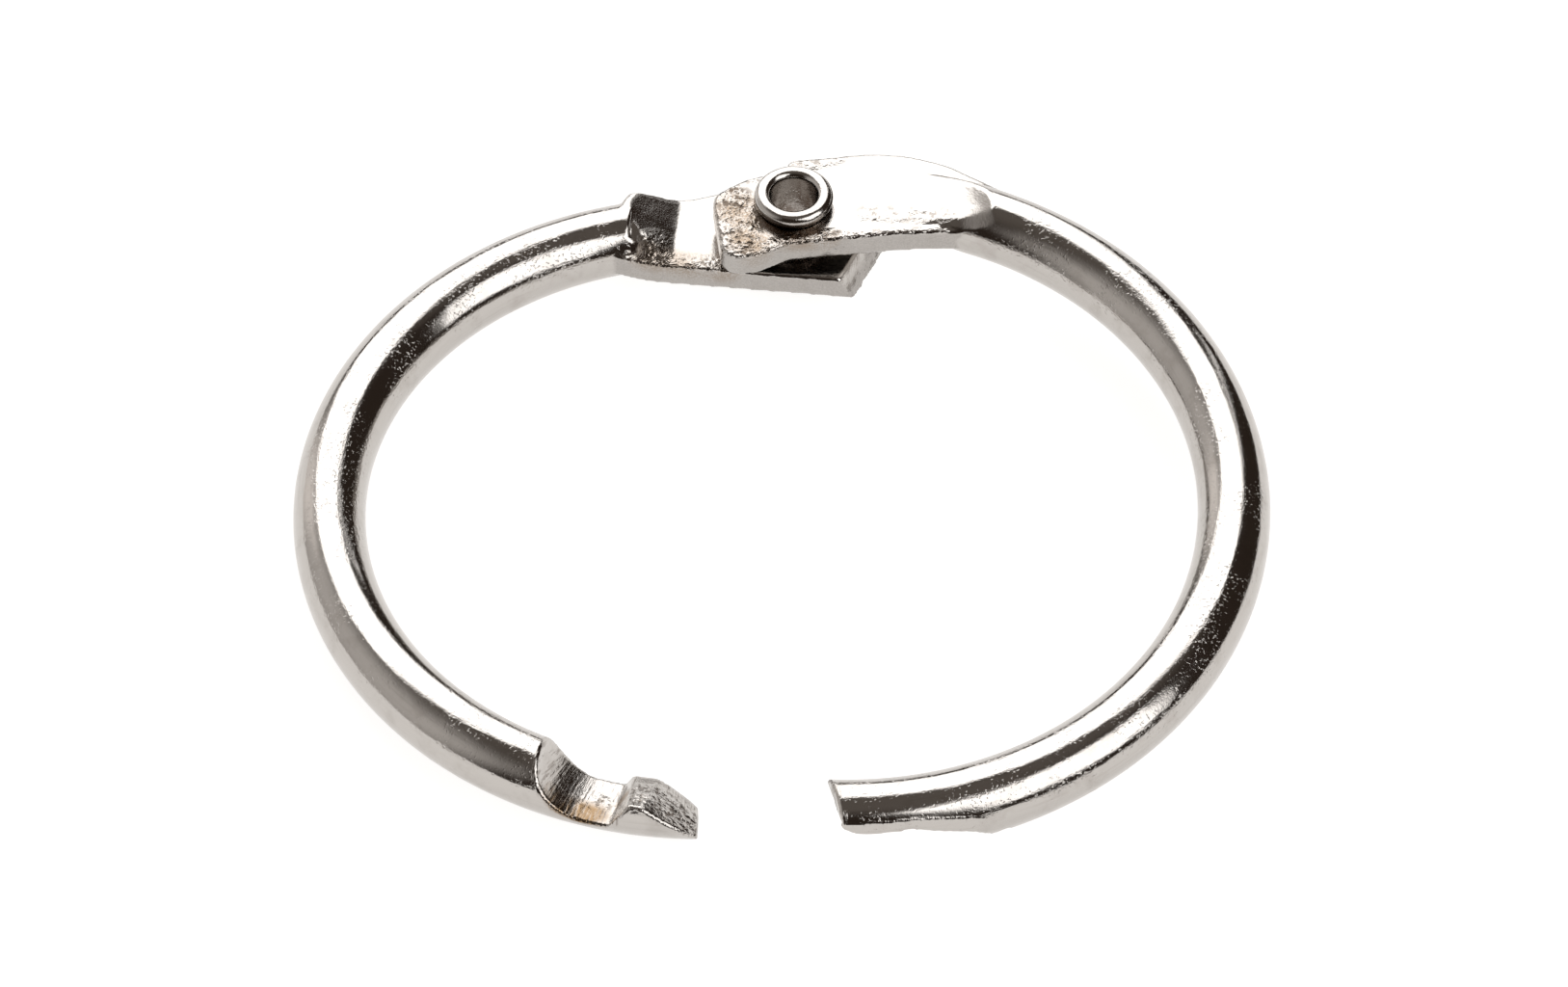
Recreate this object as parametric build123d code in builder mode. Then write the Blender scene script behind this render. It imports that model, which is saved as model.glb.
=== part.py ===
# A hinged steel binder ring lying flat and sprung open.
# Two bent wire halves turn on a hollow eyelet at the back, and hook together with a
# half-lap latch at the front.
#
# The origin is on the eyelet's axis, level with the middle of the left half's wire.
# +Z is up, and the latch lies towards -Y. Sizes are in millimetres.

import os
from math import asin, cos, radians, sin, sqrt, tan

from build123d import *

os.makedirs("parts", exist_ok=True)

# Wire, and the reach of each half from the hinge axis to the latch
wire_diameter = 2.7
latch_reach = 27.8
right_extra_reach = 0.7

# Where each half's bend, carried on, would pass the hinge axis
left_bend_pass = 0.0
right_bend_pass = 0.5

# How far each half is swung open from the closed ring, in degrees
left_opening = 14.0
right_opening = 7.4

# Flattened hinge tongues
tongue_thickness = 1.0
tongue_width = 4.3
tongue_gap_closed = 0.2
wire_overlap = 0.6

# Left tongue, with a sheared end that leans back at the top
left_tongue_turn = 8.0
left_tongue_shift = -0.2
left_tongue_reach = 3.5
left_tongue_back = 2.4
left_end_corner = 2.6
left_end_side = 0.3
left_end_lean = 30.0
left_blend_start = 4.6
left_blend_end = 7.2
left_shoulder_start = 4.5
left_shoulder_length = 1.7
left_shoulder_step = 0.35

# Right tongue, with a blunt rounded end that swells at its inner corner
right_tongue_shift = 0.1
right_tongue_reach = 3.05
right_end_rounding = 0.75
right_end_swell = 0.45
right_swell_length = 1.2
right_swell_start = 0.5
right_end_side = 0.8
right_end_back = -0.3
right_blend_start = 2.8
right_blend_end = 6.6
right_back_blend_start = 2.6
right_back_blend_end = 6.3
right_back_drop = 1.15
right_back_run_out = 9.3
right_shoulder_start = 4.4
right_shoulder_length = 3.4
right_heel_start = 5.0
right_heel_length = 1.7
shoulder_run_out = 0.15

# Play of the right half along the eyelet, taken up when the latch drops in
latch_lift = 0.35

# Eyelet
eyelet_bore_diameter = 1.8
eyelet_wall = 0.25
eyelet_hole_clearance = 0.05
eyelet_seat_clearance = 0.03
head_diameter = 3.0
head_height = 0.62
clinch_diameter = 3.1
clinch_height = 0.5
rim_rounding = 0.3
mouth_bevel = 0.1

# Left lap, measured along the wire from the start of its scoop
lap_length = 5.85
lap_past_middle = 3.3
scoop_radius = 2.1
notch_depth = 0.47
notch_end = 2.95
notch_tilt = 12.0
riser_slope = 59.0
riser_length = 1.8
tooth_height = 0.28
tooth_end = 4.15
tooth_tilt = 27.0
tip_drop = 0.65

# Right lap, which covers the left one from above and outside
right_tip_start = 0.25
right_tip_turn = 6.0
nose_length = 1.6
nose_run_out = 0.4
hook_depth = 0.22
lap_clearance = 0.05
riser_clearance = 0.26
ramp_clearance = 0.1
ramp_past_tip = 0.4
lip_nose_length = 1.15
lip_height = 0.38
lip_rise = 0.1
lip_end = 4.9
lip_run_out = 1.2

# Derived sizes
wire_radius = wire_diameter / 2
half_thickness = tongue_thickness / 2
half_width = tongue_width / 2
right_reach = latch_reach + right_extra_reach
left_bend = (latch_reach + left_bend_pass) / 2
right_bend = (right_reach + right_bend_pass) / 2
left_centre_y = left_bend - latch_reach
right_centre_y = right_bend - right_reach
stack_closed = tongue_thickness + tongue_gap_closed
right_tilt = asin(stack_closed / right_reach)
shank_radius = eyelet_bore_diameter / 2 + eyelet_wall
tongue_hole_radius = shank_radius + eyelet_hole_clearance
lap_start = lap_past_middle - lap_length
tip_slope = (tooth_height + tip_drop) / (lap_length - tooth_end)
cut_depth = 2 * wire_diameter

# How far beside the centreline a tongue's outline sinks into the wire
wire_flank = 0.85 * wire_radius

# The closed ring's frame, as it is carried by each half
left_frame = Plane.XY.rotated((0, 0, -left_opening))
right_frame = Plane.XY.offset(latch_lift).rotated((0, 0, right_opening))
left_tongue_plane = left_frame.rotated((0, 0, left_tongue_turn))
right_tongue_plane = right_frame.offset(stack_closed)

# The right wire lies in a slightly tilted plane, from the top of the hinge stack down to
# the left wire's level at the latch
right_wire_plane = Plane(
    origin=right_tongue_plane.origin,
    x_dir=right_frame.x_dir,
    z_dir=right_frame.z_dir * cos(right_tilt) - right_frame.y_dir * sin(right_tilt),
)


def bend_at_latch(bend, reach, along):
    """Point of a half's centreline, a distance along the bend from the latch's middle."""
    angle = along / bend
    return (bend * sin(angle), bend - reach - bend * cos(angle))


def bend_at_hinge(bend, centre_y, x, aside=0.0):
    """Point beside a half's centreline near the hinge, a distance x across from the axis."""
    return (x, centre_y + sqrt((bend + aside) ** 2 - x**2))


def latch_plane(frame, tilt):
    """Profile plane across the latch: x along the wire, cutting upwards to the outside."""
    slant = radians(tilt)
    return Plane(
        origin=frame.from_local_coords((lap_start, -latch_reach, 0)),
        x_dir=frame.x_dir,
        z_dir=frame.z_dir * sin(slant) - frame.y_dir * cos(slant),
    )


# Left half: the lower tongue and the lower lap
left_wire_start = wire_overlap - left_shoulder_start
left_inner_edge = left_tongue_shift - half_width
left_outer_edge = left_tongue_shift + half_width
with BuildPart() as left_half:
    with BuildLine(left_frame) as left_centreline:
        ThreePointArc(
            bend_at_hinge(left_bend, left_centre_y, left_wire_start),
            (-left_bend, left_centre_y),
            bend_at_latch(left_bend, latch_reach, lap_past_middle),
        )
    with BuildSketch(Plane(origin=left_centreline.line @ 0, z_dir=left_centreline.line % 0)):
        Circle(wire_radius)
    sweep(path=left_centreline.line)

    # Shoulders pressed into the top and the underside of the wire
    with BuildSketch(Plane(left_tongue_plane.origin, left_tongue_plane.x_dir,
                           -left_tongue_plane.y_dir)):
        shoulder_back = -left_shoulder_start - left_shoulder_length
        with BuildLine():
            floor_line = Line((0, half_thickness), (-left_shoulder_start, half_thickness))
            rise = TangentArc(
                floor_line @ 1,
                (shoulder_back, wire_radius - left_shoulder_step),
                tangent=(-1, 0),
            )
            Polyline(rise @ 1, (shoulder_back, wire_diameter), (0, wire_diameter), floor_line @ 0)
        make_face()
        mirror(about=Plane.XZ)
    extrude(amount=cut_depth, both=True, mode=Mode.SUBTRACT)

    # The flattened tongue
    with BuildSketch(left_tongue_plane.offset(-half_thickness)):
        with BuildLine():
            outer = Line((-left_tongue_back, left_outer_edge), (0, left_outer_edge))
            end = TangentArc(outer @ 1, (left_tongue_reach, left_end_side), tangent=(1, 0))
            inner = Polyline(
                end @ 1,
                (left_end_corner, left_inner_edge),
                (-left_blend_start, left_inner_edge),
            )
            blend = TangentArc(
                inner @ 1,
                (-left_blend_end, left_inner_edge + half_thickness),
                tangent=(-1, 0),
            )
            Polyline(blend @ 1, (-left_blend_end, 0), outer @ 0)
        make_face()
    extrude(amount=tongue_thickness)

    # Its sheared end, which leans back from the lower edge
    end_run = Vector(left_tongue_reach - left_end_corner, left_end_side - left_inner_edge).normalized()
    lean = radians(left_end_lean)
    shear_normal = (
        left_tongue_plane.x_dir * end_run.Y * cos(lean)
        - left_tongue_plane.y_dir * end_run.X * cos(lean)
        + left_tongue_plane.z_dir * sin(lean)
    )
    shear_origin = left_tongue_plane.from_local_coords(
        (left_end_corner, left_inner_edge, -half_thickness)
    )
    with BuildSketch(Plane(origin=shear_origin, z_dir=shear_normal)):
        Rectangle(3 * tongue_width, 3 * tongue_width)
    extrude(amount=tongue_width, mode=Mode.SUBTRACT)

    with BuildSketch(Plane.XY.offset(-half_thickness)):
        Circle(tongue_hole_radius)
    extrude(amount=tongue_thickness, mode=Mode.SUBTRACT)

    # Scoop and notch for the other half's hook
    with BuildSketch(latch_plane(left_frame, notch_tilt)):
        with BuildLine():
            scoop = CenterArc((scoop_radius, scoop_radius - notch_depth), scoop_radius, 180, 90)
            floor_line = Line(scoop @ 1, (notch_end, -notch_depth))
            riser = PolarLine(floor_line @ 1, riser_length, riser_slope)
            Polyline(riser @ 1, (notch_end + riser_length, wire_diameter), (0, wire_diameter), scoop @ 0)
        make_face()
    extrude(amount=cut_depth, both=True, mode=Mode.SUBTRACT)

    # Tooth top, sloping down to the tip
    with BuildSketch(latch_plane(left_frame, tooth_tilt)):
        with BuildLine():
            Polyline(
                (notch_end, tooth_height),
                (tooth_end, tooth_height),
                (lap_length + wire_radius, -tip_drop - wire_radius * tip_slope),
                (lap_length + wire_radius, wire_diameter),
                (notch_end, wire_diameter),
                close=True,
            )
        make_face()
    extrude(amount=cut_depth, both=True, mode=Mode.SUBTRACT)

left_half.part.label = "left_half"
export_step(left_half.part, "parts/left_half.step")

# What the right lap leaves free: room for the left lap, up to a lip along the outside
lip_plane = Plane(
    origin=right_frame.from_local_coords(
        (lap_start, -latch_reach - wire_radius - lap_clearance, 0)
    ),
    x_dir=right_frame.x_dir,
    z_dir=-right_frame.y_dir,
)
hook_bottom = tooth_height - hook_depth
recess = tooth_height + lap_clearance
riser_run = tan(radians(riser_slope))
riser_foot = notch_end + (hook_bottom + notch_depth) / riser_run - riser_clearance
riser_head = riser_foot + (recess - hook_bottom) / riser_run
ramp_foot = lap_length + ramp_past_tip
ramp_bottom = ramp_clearance - tip_drop - (ramp_past_tip - ramp_clearance) * tip_slope
nose_back = right_tip_start - nose_run_out
nose_front = right_tip_start + nose_length
with BuildPart() as lap_room:
    with BuildSketch(latch_plane(right_frame, tooth_tilt)):
        with BuildLine():
            Polyline(
                (-wire_diameter, hook_bottom),
                (-wire_diameter, -wire_diameter),
                (ramp_foot + wire_radius, -wire_diameter),
                (ramp_foot, ramp_bottom),
                (tooth_end + ramp_clearance, recess),
                (riser_head, recess),
                (riser_foot, hook_bottom),
                close=True,
            )
        make_face()
    extrude(amount=cut_depth, both=True)
    with BuildSketch(latch_plane(right_frame, notch_tilt)):
        with BuildLine():
            nose = TangentArc(
                (nose_front, hook_bottom),
                (nose_back, wire_radius),
                tangent=(-1, 0),
            )
            Polyline(
                nose @ 1,
                (-wire_diameter, wire_radius),
                (-wire_diameter, -wire_diameter),
                (nose_front, -wire_diameter),
                nose @ 0,
            )
        make_face()
    extrude(amount=cut_depth, both=True)
    split(bisect_by=lip_plane, keep=Keep.BOTTOM)
    with BuildSketch(lip_plane):
        with BuildLine():
            nose = TangentArc(
                (right_tip_start + lip_nose_length, lip_height),
                (nose_back, wire_radius),
                tangent=(-1, 0),
            )
            run_out = TangentArc(
                (lip_end, 0),
                (lip_end + lip_run_out, -wire_radius),
                tangent=(lip_end - notch_end, -lip_height - lip_rise),
            )
            Polyline(nose @ 0, (notch_end, lip_height + lip_rise), run_out @ 0)
            Polyline(
                run_out @ 1,
                (lip_end + lip_run_out, -wire_diameter),
                (-wire_diameter, -wire_diameter),
                (-wire_diameter, wire_radius),
                nose @ 1,
            )
        make_face()
    extrude(amount=cut_depth)

# Right half: the upper tongue and the upper lap
right_wire_start = right_shoulder_start - wire_overlap
right_inner_edge = right_tongue_shift - half_width
right_outer_edge = right_tongue_shift + half_width
swell_edge = right_inner_edge - right_end_swell
with BuildPart() as right_half:
    with BuildLine(right_wire_plane) as right_centreline:
        ThreePointArc(
            bend_at_hinge(right_bend, right_centre_y, right_wire_start),
            (right_bend, right_centre_y),
            bend_at_latch(right_bend, right_reach, lap_start),
        )
    with BuildSketch(Plane(origin=right_centreline.line @ 0, z_dir=right_centreline.line % 0)):
        Circle(wire_radius)
    sweep(path=right_centreline.line)

    # The tip is sheared off a little askew
    tip_turn = radians(right_tip_turn)
    tip_plane = Plane(
        origin=right_frame.from_local_coords((lap_start + right_tip_start, -right_reach, 0)),
        z_dir=right_frame.x_dir * cos(tip_turn) + right_frame.y_dir * sin(tip_turn)
        - right_frame.z_dir * sin(tip_turn),
    )
    split(bisect_by=tip_plane, keep=Keep.TOP)
    add(lap_room.part, mode=Mode.SUBTRACT)

    # A long gentle shoulder on top and a short heel underneath
    with BuildSketch(Plane(right_tongue_plane.origin, right_tongue_plane.x_dir,
                           -right_tongue_plane.y_dir)):
        for side, start, length in (
            (1, right_shoulder_start, right_shoulder_length),
            (-1, right_heel_start, right_heel_length),
        ):
            with BuildLine():
                floor_line = Line((0, side * half_thickness), (start, side * half_thickness))
                rise = TangentArc(
                    floor_line @ 1,
                    (start + length, side * (wire_radius + shoulder_run_out)),
                    tangent=(1, 0),
                )
                Polyline(rise @ 1, (start + length, side * wire_diameter),
                         (0, side * wire_diameter), floor_line @ 0)
            make_face()
    extrude(amount=cut_depth, both=True, mode=Mode.SUBTRACT)

    # The flattened tongue
    with BuildSketch(right_tongue_plane.offset(-half_thickness)):
        with BuildLine():
            back = Line((right_end_back, right_outer_edge), (right_back_blend_start, right_outer_edge))
            back_blend = TangentArc(
                back @ 1,
                (right_back_blend_end, right_outer_edge - right_back_drop),
                tangent=(1, 0),
            )
            inner_blend = TangentArc(
                (right_blend_start, right_inner_edge),
                bend_at_hinge(right_bend, right_centre_y, right_blend_end, -wire_flank),
                tangent=(1, 0),
            )
            Polyline(
                back_blend @ 1,
                bend_at_hinge(right_bend, right_centre_y, right_back_run_out, wire_flank),
                bend_at_hinge(right_bend, right_centre_y, right_blend_end),
                inner_blend @ 1,
            )
            FilletPolyline(
                inner_blend @ 0,
                (-right_swell_start, right_inner_edge),
                (-right_swell_start - right_swell_length, swell_edge),
                (-right_tongue_reach, swell_edge),
                (-right_tongue_reach, right_end_side),
                back @ 0,
                radius=right_end_rounding,
            )
        make_face()
    extrude(amount=tongue_thickness)
    with BuildSketch(right_tongue_plane.offset(-half_thickness)):
        Circle(tongue_hole_radius)
    extrude(amount=tongue_thickness, mode=Mode.SUBTRACT)

right_half.part.label = "right_half"
export_step(right_half.part, "parts/right_half.step")

# The eyelet: a thin tube with a rolled head above and a clinched flare below
stack_bottom = -half_thickness - eyelet_seat_clearance
stack_top = latch_lift + stack_closed + half_thickness + eyelet_seat_clearance
bore_radius = eyelet_bore_diameter / 2
with BuildPart() as eyelet:
    with BuildSketch(Plane.XZ):
        with BuildLine():
            for seat, height, diameter in (
                (stack_top, head_height, head_diameter),
                (stack_bottom, -clinch_height, clinch_diameter),
            ):
                outward = 1 if height > 0 else -1
                face = seat + height
                rim = RadiusArc(
                    (diameter / 2 - rim_rounding, face),
                    (diameter / 2, face - outward * rim_rounding),
                    outward * rim_rounding,
                )
                Polyline(
                    (bore_radius, 0),
                    (bore_radius, face - outward * mouth_bevel),
                    (bore_radius + mouth_bevel, face),
                    rim @ 0,
                )
                Polyline(rim @ 1, (diameter / 2, seat), (shank_radius, seat), (shank_radius, 0))
        make_face()
    revolve(axis=Axis.Z)

eyelet.part.label = "eyelet"
export_step(eyelet.part, "parts/eyelet.step")
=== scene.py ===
"""A hinged steel binder ring, sprung open and lying flat on a pale floor.

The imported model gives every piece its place. Each half is given an even fine mesh with
worn edges and a plated finish, and the eyelet is turned afresh with a rolled head.
Meshes are worked in millimetres and written in metres.
"""

import logging
import math
from dataclasses import dataclass
from enum import Enum
from typing import Any

import bpy
import numpy as np
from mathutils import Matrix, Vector, noise
from mathutils.bvhtree import BVHTree


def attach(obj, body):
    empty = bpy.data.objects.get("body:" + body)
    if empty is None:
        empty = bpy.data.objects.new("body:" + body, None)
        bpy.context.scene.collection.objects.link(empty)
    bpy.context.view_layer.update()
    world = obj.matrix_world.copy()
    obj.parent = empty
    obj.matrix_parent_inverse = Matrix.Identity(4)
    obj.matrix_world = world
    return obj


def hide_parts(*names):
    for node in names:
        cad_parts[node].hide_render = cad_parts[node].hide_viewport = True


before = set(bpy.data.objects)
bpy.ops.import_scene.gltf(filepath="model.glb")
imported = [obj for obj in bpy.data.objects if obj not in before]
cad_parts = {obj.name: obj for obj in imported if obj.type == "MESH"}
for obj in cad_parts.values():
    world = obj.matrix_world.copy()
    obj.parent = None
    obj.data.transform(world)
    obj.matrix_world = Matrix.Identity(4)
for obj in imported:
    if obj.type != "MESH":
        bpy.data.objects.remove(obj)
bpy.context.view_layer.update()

log = logging.getLogger("binder ring")
MM = 0.001
WIRE_PLACE = "wire_place"

Colour = tuple[float, float, float]
Point = tuple[float, float, float]
Span = tuple[float, float]


class Socket:
    """An output of a shader node, so that shader maths reads as Python expressions."""

    def __init__(self, graph: "Graph", socket: bpy.types.NodeSocket | None) -> None:
        """Keeps the graph, for the nodes that expressions add, and the socket itself."""
        self.graph = graph
        self.socket = socket

    def _math(self, operation: str, first: Any, second: Any) -> "Socket":
        """Adds one Math node."""
        return self.graph.node("ShaderNodeMath", {"operation": operation}, {0: first, 1: second})

    def __add__(self, other: Any) -> "Socket":
        """self + other."""
        return self._math("ADD", self, other)

    def __radd__(self, other: Any) -> "Socket":
        """other + self."""
        return self._math("ADD", other, self)

    def __sub__(self, other: Any) -> "Socket":
        """self - other."""
        return self._math("SUBTRACT", self, other)

    def __rsub__(self, other: Any) -> "Socket":
        """other - self."""
        return self._math("SUBTRACT", other, self)

    def __mul__(self, other: Any) -> "Socket":
        """self * other."""
        return self._math("MULTIPLY", self, other)

    def __rmul__(self, other: Any) -> "Socket":
        """other * self."""
        return self._math("MULTIPLY", other, self)

    def __truediv__(self, other: Any) -> "Socket":
        """self / other."""
        return self._math("DIVIDE", self, other)

    def __abs__(self) -> "Socket":
        """Size without sign."""
        return self._math("ABSOLUTE", self, 0.0)

    def most(self, other: Any) -> "Socket":
        """The larger of the two values."""
        return self._math("MAXIMUM", self, other)

    def step(self, low: float, high: float) -> "Socket":
        """Smooth step from 0 to 1.

        Args:
            low: value at which the result is 0.
            high: value at which the result is 1. It may be less than low.

        Returns:
            The eased value.
        """
        if low > high:
            return 1.0 - self.step(high, low)
        return self.graph.node(
            "ShaderNodeMapRange",
            {"interpolation_type": "SMOOTHSTEP", "clamp": True},
            {0: self, 1: low, 2: high, 3: 0.0, 4: 1.0},
        )

    def dot(self, direction: Point) -> "Socket":
        """Dot product of this vector and a fixed one."""
        return self.graph.node(
            "ShaderNodeVectorMath", {"operation": "DOT_PRODUCT"}, {0: self, 1: direction}, 1
        )

    def stretched(self, scale: Point) -> "Socket":
        """This vector multiplied by a fixed one, axis by axis."""
        return self.graph.node(
            "ShaderNodeVectorMath", {"operation": "MULTIPLY"}, {0: self, 1: scale}
        )

    def plus(self, other: "Socket") -> "Socket":
        """Sum of two vectors or colours."""
        return self.graph.node("ShaderNodeVectorMath", {"operation": "ADD"}, {0: self, 1: other})


class Graph:
    """A node tree that grows by one method."""

    def __init__(self, tree: bpy.types.NodeTree) -> None:
        """Starts from an emptied tree."""
        self.tree = tree
        tree.nodes.clear()

    def node(
        self,
        kind: str,
        settings: dict[str, Any] | None = None,
        values: dict[int | str, Any] | None = None,
        output: int | str = 0,
    ) -> Socket:
        """Adds a node.

        Args:
            kind: the node's type.
            settings: its properties, such as a Math node's operation, set first.
            values: a number, colour or Socket for each input.
            output: which output the result reads.

        Returns:
            The chosen output, which is empty for a node without outputs.
        """
        made = self.tree.nodes.new(kind)
        for name, setting in (settings or {}).items():
            setattr(made, name, setting)
        for key, value in (values or {}).items():
            if isinstance(value, Socket):
                self.tree.links.new(value.socket, made.inputs[key])
            else:
                made.inputs[key].default_value = value
        return Socket(self, made.outputs[output] if made.outputs else None)

    def mix(self, factor: Any, first: Any, second: Any) -> Socket:
        """Blends two colours.

        Args:
            factor: 0 for the first colour and 1 for the second.
            first: colour or Socket.
            second: colour or Socket.

        Returns:
            The blended colour.
        """
        colours = [(*c, 1.0) if isinstance(c, tuple) else c for c in (first, second)]
        return self.node(
            "ShaderNodeMix",
            {"data_type": "RGBA", "clamp_factor": True},
            {0: factor, 6: colours[0], 7: colours[1]},
            2,
        )

    def attribute(self, name: str, output: str = "Fac") -> Socket:
        """Reads a mesh attribute."""
        return self.node("ShaderNodeAttribute", {"attribute_name": name}, None, output)

    def grain(self, where: Socket, scale: Point, detail: float = 2.0, rough: float = 0.5) -> Socket:
        """Noise of about 0 to 1.

        Args:
            where: place in millimetres.
            scale: waves to the millimetre on each axis.
            detail: octaves of finer noise.
            rough: strength of the finer noise.

        Returns:
            The noise value.
        """
        return self.node(
            "ShaderNodeTexNoise",
            {"noise_dimensions": "3D"},
            {"Vector": where.stretched(scale), "Scale": 1.0, "Detail": detail, "Roughness": rough},
        )

    def dress(self, values: dict[str, Any]) -> None:
        """Ends a material with its one shader.

        Args:
            values: what goes into the Principled shader's sockets.
        """
        shader = self.node("ShaderNodeBsdfPrincipled", None, values)
        self.node("ShaderNodeOutputMaterial", None, {"Surface": shader})


def new_material(name: str) -> tuple[bpy.types.Material, Graph]:
    """Starts a material.

    Args:
        name: the material's name.

    Returns:
        The material and its emptied graph.
    """
    made = bpy.data.materials.new(name)
    made.use_nodes = True
    return made, Graph(made.node_tree)


class Mark(Enum):
    """Mesh attributes that the finishes read, each from 0 to 1."""

    PRESSED = "pressed"
    LAP = "lap"
    SHEARED = "sheared"
    HAMMERED = "hammered"
    # Real stains on the halves, and painted shade: in the eyelet's bore, a contact shadow low on
    # its rims, and a contact shadow by its foot on the right tongue.
    STAIN_AND_SHADE = "stain_and_shade"


# Heights of the broad and the tight lumps on each kind of worked face, in millimetres.
LUMP_HEIGHTS: dict[Mark, Span] = {
    Mark.PRESSED: (0.012, 0.022),
    Mark.LAP: (0.010, 0.006),
    Mark.HAMMERED: (0.020, 0.030),
    Mark.SHEARED: (0.0, 0.030),
}


@dataclass(frozen=True)
class PlateGrain:
    """The plate's patterns, each a noise or a mask of about 0 to 1."""

    drawn: Socket
    across: Socket
    cloud: Socket
    fine: Socket
    ragged: Socket
    lump: Socket
    pit: Socket
    patch: Socket


@dataclass(frozen=True)
class NickelPlate:
    """Bright nickel plate on steel, finely pitted, drawn in streaks, stained where worked, and
    darkened with painted shade on the eyelet and by its foot.

    A span is where a pattern goes from nothing to whole. A share is what stays of a texture
    outside its own patches. Depths are in millimetres.
    """

    colour: Colour = (0.50, 0.474, 0.448)
    dull_colour: Colour = (0.40, 0.372, 0.345)
    # Colour of real stains. By the eyelet's foot on the right tongue it also paints a contact
    # shadow, and the eyelet's own darker colour paints shade in its bore and under its rims.
    stain_and_shade_colour: Colour = (0.24, 0.16, 0.09)
    bare_colour: Colour = (0.35, 0.33, 0.31)
    grime_colour: Colour = (0.11, 0.085, 0.065)
    cloud_dulling: float = 0.55
    cloud_span: Span = (0.46, 0.72)
    drawn_dulling: float = 0.3
    drawn_span: Span = (0.5, 0.8)
    bare_share: float = 0.5
    bare_span: Span = (0.3, 0.7)
    blotch_cloud: float = 0.6
    blotch_fine: float = 0.7
    blotch_less_fine: float = 0.5
    blotch_across: float = 0.6
    blotch_span: Span = (0.44, 0.80)
    lump_grime_span: Span = (0.52, 0.36)
    scrape_grime: float = 0.5
    scrape_grime_span: Span = (0.46, 0.34)
    polish: float = 0.09
    streak_roughness: float = 0.07
    streak_span: Span = (0.45, 0.85)
    worked_roughness: float = 0.07
    stain_and_shade_roughness: float = 0.10
    sheared_roughness: float = 0.10
    patch_span: Span = (0.42, 0.64)
    pit_span: Span = (0.57, 0.74)
    grit_depth: float = 0.003
    grit_share: float = 0.6
    pit_depth: float = 0.0065
    pit_share: float = 0.25
    drawn_depth: float = 0.004
    drawn_share: float = 0.3
    ragged_depth: float = 0.006
    ragged_share: float = 0.5
    hammer_depth: float = 0.10
    hammer_share: float = 0.06
    scrape_depth: float = 0.028

    def material(self, name: str) -> bpy.types.Material:
        """Builds the finish.

        Args:
            name: the material's name.

        Returns:
            A material that reads the attributes in Mark and the place along the wire.
        """
        made, graph = new_material(name)
        marks = {mark: graph.attribute(mark.value) for mark in Mark}
        grain = self._grain(graph)
        worked = marks[Mark.PRESSED].most(marks[Mark.LAP]).most(marks[Mark.SHEARED])
        stained_and_shaded = self._stained_and_shaded(marks, grain)
        height = self._height(marks, grain, worked)
        graph.dress({
            "Base Color": self._colour(graph, marks, grain, stained_and_shaded),
            "Metallic": 1.0,
            "Roughness": self._roughness(marks, grain, worked, stained_and_shaded),
            "Normal": graph.node(
                "ShaderNodeBump", None, {"Strength": 1.0, "Distance": MM, "Height": height}
            ),
        })
        return made

    def _grain(self, graph: Graph) -> PlateGrain:
        """Draws the patterns.

        Args:
            graph: the material's graph.

        Returns:
            The patterns, some of them in space and some along the wire.
        """
        place = graph.node("ShaderNodeTexCoord", output="Object").stretched((1 / MM,) * 3)
        along = graph.attribute(WIRE_PLACE, "Vector")
        return PlateGrain(
            drawn=graph.grain(along, (0.35, 7.0, 7.0), 3.0),
            across=graph.grain(along, (11.0, 1.2, 1.2), 3.0),
            cloud=graph.grain(place, (0.9,) * 3, 4.0, 0.6),
            fine=graph.grain(place, (14.0,) * 3, 3.0, 0.65),
            ragged=graph.grain(along, (1.6, 5.0, 5.0), 2.0, 0.6),
            lump=graph.grain(place, (4.2,) * 3, 2.0, 0.55),
            pit=graph.grain(place, (8.5,) * 3, 2.0, 0.5).step(*self.pit_span),
            patch=graph.grain(place, (0.5,) * 3, 1.0).step(*self.patch_span),
        )

    def _stained_and_shaded(self, marks: dict[Mark, Socket], grain: PlateGrain) -> Socket:
        """Breaks the stains and painted shade up into blotches, drawn out across the wire on a lap.

        Args:
            marks: the mesh's attributes.
            grain: the patterns.

        Returns:
            How much staining and painted shade the plate has, from 0 to 1.
        """
        lap = marks[Mark.LAP]
        blotch = (
            grain.cloud * self.blotch_cloud
            + grain.fine * (self.blotch_fine - lap * self.blotch_less_fine)
            + grain.across * (lap * self.blotch_across)
        )
        return marks[Mark.STAIN_AND_SHADE] * blotch.step(*self.blotch_span)

    def _colour(
        self, graph: Graph, marks: dict[Mark, Socket], grain: PlateGrain, stained_and_shaded: Socket
    ) -> Socket:
        """Lays tarnish, bare steel, stains and painted shade, and grime over the plate's colour.

        Args:
            graph: the material's graph.
            marks: the mesh's attributes.
            grain: the patterns.
            stained_and_shaded: how much staining and painted shade the plate has.

        Returns:
            The base colour.
        """
        tarnish = (
            grain.cloud.step(*self.cloud_span) * self.cloud_dulling
            + grain.drawn.step(*self.drawn_span) * self.drawn_dulling
        )
        speckle = self.bare_share + (1 - self.bare_share) * grain.fine.step(*self.bare_span)
        bare = marks[Mark.SHEARED] * speckle
        grime = (
            marks[Mark.HAMMERED] * grain.lump.step(*self.lump_grime_span)
            + marks[Mark.LAP] * grain.across.step(*self.scrape_grime_span) * self.scrape_grime
        )
        colour = graph.mix(tarnish, self.colour, self.dull_colour)
        colour = graph.mix(bare, colour, self.bare_colour)
        # Real stains, painted shade on the eyelet, and a painted contact shadow by its foot.
        colour = graph.mix(stained_and_shaded, colour, self.stain_and_shade_colour)
        return graph.mix(grime, colour, self.grime_colour)

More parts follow.
